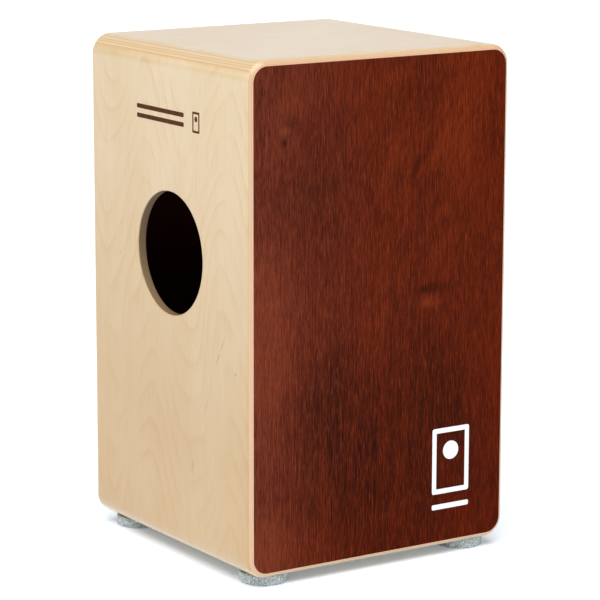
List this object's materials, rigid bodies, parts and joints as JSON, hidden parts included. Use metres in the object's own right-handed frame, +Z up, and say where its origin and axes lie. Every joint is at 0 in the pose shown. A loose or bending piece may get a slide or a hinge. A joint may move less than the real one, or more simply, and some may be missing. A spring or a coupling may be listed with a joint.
{
  "type": "cajon",
  "caption": "Box drum of pale plywood with a dark veneered playing surface, a round sound hole in one side, disc feet and a pull-out snare unit.",
  "frame": {"origin": "on the floor under the middle of the box, at the level of the feet's undersides", "axes": "+X to the right as seen from the playing side, +Y from the playing surface towards the back, +Z up; the sound hole faces -X"},
  "size_m": [0.298, 0.292, 0.5],
  "materials": {
    "birch_panel": "pale birch plywood, clear satin lacquer",
    "plate_core": "thin birch plywood, satin lacquer on the rounded edge",
    "dark_veneer": "red-brown open-pored veneer, satin",
    "batten_wood": "planed softwood, stained dark inside",
    "beech": "planed beech",
    "hook_loop": "black hook-and-loop tape",
    "snare_steel": "bright zinc-plated steel",
    "foot_felt": "mottled grey pressed felt",
    "white_print": "matt white screen print",
    "burn_mark": "brown laser burn"
  },
  "bodies": {
    "body": {"seat_panel": "birch_panel", "base_panel": "birch_panel", "left_side_panel": "birch_panel", "right_side_panel": "birch_panel", "back_panel": "birch_panel", "playing_surface_core": "plate_core", "playing_surface_veneer": "dark_veneer", "corner_batten_top_left": "batten_wood", "corner_batten_top_right": "batten_wood", "corner_batten_bottom_left": "batten_wood", "corner_batten_bottom_right": "batten_wood", "snare_block_left": "beech", "snare_block_right": "beech", "hook_pad_left": "hook_loop", "hook_pad_right": "hook_loop", "foot_front_left": "foot_felt", "foot_front_right": "foot_felt", "foot_back_left": "foot_felt", "foot_back_right": "foot_felt"},
    "snare_unit": {"snare_bar": "beech", "loop_pad_left": "hook_loop", "loop_pad_right": "hook_loop", "snare_end_plate_left": "snare_steel", "snare_end_plate_right": "snare_steel", "snare_coils_left": "snare_steel", "snare_coils_right": "snare_steel", "snare_screws": "snare_steel"}
  },
  "joints": [
    {"name": "snare_unit_pull", "type": "slide", "parent": "body", "child": "snare_unit", "axis": [0, 1, 0], "range_m": [0, 0.12]}
  ]
}
